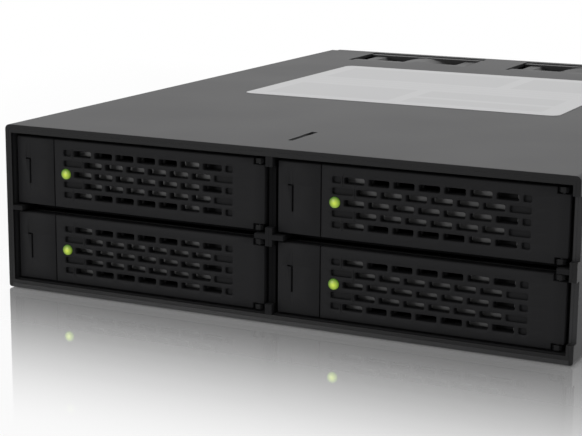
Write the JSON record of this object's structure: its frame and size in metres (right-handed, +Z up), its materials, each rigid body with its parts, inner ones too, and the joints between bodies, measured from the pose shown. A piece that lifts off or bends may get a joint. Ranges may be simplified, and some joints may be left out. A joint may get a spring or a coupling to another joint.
{
  "type": "hot swap drive cage",
  "caption": "Sheet metal drive cage for a half-height bay, with swing-lever trays that slide out, eject buttons, a backplane and rear fans.",
  "frame": {"origin": "centre of the underside of the housing, at mid-width and mid-depth", "axes": "+X to the right seen from the front, +Y from the tray fronts to the rear fans, +Z up"},
  "size_m": [0.146, 0.196, 0.0413],
  "materials": {
    "painted_steel": "fine satin black powder coat",
    "zinc_steel": "bare zinc-plated sheet",
    "black_tray_metal": "satin black painted die cast and sheet metal",
    "steel_pin": "bright steel",
    "spring_steel": "spring steel strip",
    "lamp": "clear lens over a lit green lamp",
    "clear_guide": "clear acrylic",
    "circuit_board": "green solder mask",
    "connector_black": "moulded black connector plastic",
    "fan_black": "moulded black fan plastic",
    "screw_black": "black zinc screws"
  },
  "bodies": {
    "cage": {"roof_cover": "painted_steel", "base_pan": "painted_steel", "front_bezel": "painted_steel", "rear_panel": "painted_steel", "centre_wall": "painted_steel", "left_shelf": "painted_steel", "right_shelf": "painted_steel", "backplane_board": "circuit_board", "link_board": "circuit_board", "port_board": "circuit_board", "drive_sockets": "connector_black", "fan_headers": "connector_black", "link_headers": "connector_black", "data_ports": "connector_black", "power_ports": "connector_black", "fan_screws": "screw_black", "left_fan_frame": "fan_black", "right_fan_frame": "fan_black"},
    "left_fan": {"left_fan_rotor": "fan_black"},
    "right_fan": {"right_fan_rotor": "fan_black"},
    "upper_left_tray": {"upper_left_tray_pan": "black_tray_metal", "upper_left_tray_front": "black_tray_metal", "upper_left_hinge_pin": "steel_pin", "upper_left_button_spring": "spring_steel", "upper_left_light_pipe": "clear_guide"},
    "upper_left_lever_arm": {"upper_left_lever": "black_tray_metal", "upper_left_lamp_lens": "lamp"},
    "upper_left_button": {"upper_left_eject_button": "black_tray_metal"},
    "upper_right_tray": {"upper_right_tray_pan": "black_tray_metal", "upper_right_tray_front": "black_tray_metal", "upper_right_hinge_pin": "steel_pin", "upper_right_button_spring": "spring_steel", "upper_right_light_pipe": "clear_guide"},
    "upper_right_lever_arm": {"upper_right_lever": "black_tray_metal", "upper_right_lamp_lens": "lamp"},
    "upper_right_button": {"upper_right_eject_button": "black_tray_metal"},
    "lower_left_tray": {"lower_left_tray_pan": "black_tray_metal", "lower_left_tray_front": "black_tray_metal", "lower_left_hinge_pin": "steel_pin", "lower_left_button_spring": "spring_steel", "lower_left_light_pipe": "clear_guide"},
    "lower_left_lever_arm": {"lower_left_lever": "black_tray_metal", "lower_left_lamp_lens": "lamp"},
    "lower_left_button": {"lower_left_eject_button": "black_tray_metal"},
    "lower_right_tray": {"lower_right_tray_pan": "black_tray_metal", "lower_right_tray_front": "black_tray_metal", "lower_right_hinge_pin": "steel_pin", "lower_right_button_spring": "spring_steel", "lower_right_light_pipe": "clear_guide"},
    "lower_right_lever_arm": {"lower_right_lever": "black_tray_metal", "lower_right_lamp_lens": "lamp"},
    "lower_right_button": {"lower_right_eject_button": "black_tray_metal"}
  },
  "joints": [
    {"name": "left_fan_spin", "type": "hinge", "parent": "cage", "child": "left_fan", "pos_m": [-0.0349, 0.083, 0.021], "axis": [0, 1, 0], "continuous": true},
    {"name": "right_fan_spin", "type": "hinge", "parent": "cage", "child": "right_fan", "pos_m": [0.0199, 0.083, 0.021], "axis": [0, 1, 0], "continuous": true},
    {"name": "upper_left_tray_slide", "type": "slide", "parent": "cage", "child": "upper_left_tray", "axis": [0, -1, 0], "range_m": [0, 0.1]},
    {"name": "upper_left_lever_swing", "type": "hinge", "parent": "upper_left_tray", "child": "upper_left_lever_arm", "pos_m": [-0.00335, -0.0955, 0.02998], "axis": [0, 0, 1], "range_deg": [0, 95]},
    {"name": "upper_left_button_press", "type": "slide", "parent": "upper_left_tray", "child": "upper_left_button", "axis": [0, 1, 0], "range_m": [0, 0.0012], "stiffness_N_per_m": 800, "springref_m": -0.001, "deforming": ["upper_left_button_spring"]},
    {"name": "upper_right_tray_slide", "type": "slide", "parent": "cage", "child": "upper_right_tray", "axis": [0, -1, 0], "range_m": [0, 0.1]},
    {"name": "upper_right_lever_swing", "type": "hinge", "parent": "upper_right_tray", "child": "upper_right_lever_arm", "pos_m": [0.06885, -0.0955, 0.02998], "axis": [0, 0, 1], "range_deg": [0, 95]},
    {"name": "upper_right_button_press", "type": "slide", "parent": "upper_right_tray", "child": "upper_right_button", "axis": [0, 1, 0], "range_m": [0, 0.0012], "stiffness_N_per_m": 800, "springref_m": -0.001, "deforming": ["upper_right_button_spring"]},
    {"name": "lower_left_tray_slide", "type": "slide", "parent": "cage", "child": "lower_left_tray", "axis": [0, -1, 0], "range_m": [0, 0.1]},
    {"name": "lower_left_lever_swing", "type": "hinge", "parent": "lower_left_tray", "child": "lower_left_lever_arm", "pos_m": [-0.00335, -0.0955, 0.01093], "axis": [0, 0, 1], "range_deg": [0, 95]},
    {"name": "lower_left_button_press", "type": "slide", "parent": "lower_left_tray", "child": "lower_left_button", "axis": [0, 1, 0], "range_m": [0, 0.0012], "stiffness_N_per_m": 800, "springref_m": -0.001, "deforming": ["lower_left_button_spring"]},
    {"name": "lower_right_tray_slide", "type": "slide", "parent": "cage", "child": "lower_right_tray", "axis": [0, -1, 0], "range_m": [0, 0.1]},
    {"name": "lower_right_lever_swing", "type": "hinge", "parent": "lower_right_tray", "child": "lower_right_lever_arm", "pos_m": [0.06885, -0.0955, 0.01093], "axis": [0, 0, 1], "range_deg": [0, 95]},
    {"name": "lower_right_button_press", "type": "slide", "parent": "lower_right_tray", "child": "lower_right_button", "axis": [0, 1, 0], "range_m": [0, 0.0012], "stiffness_N_per_m": 800, "springref_m": -0.001, "deforming": ["lower_right_button_spring"]}
  ]
}
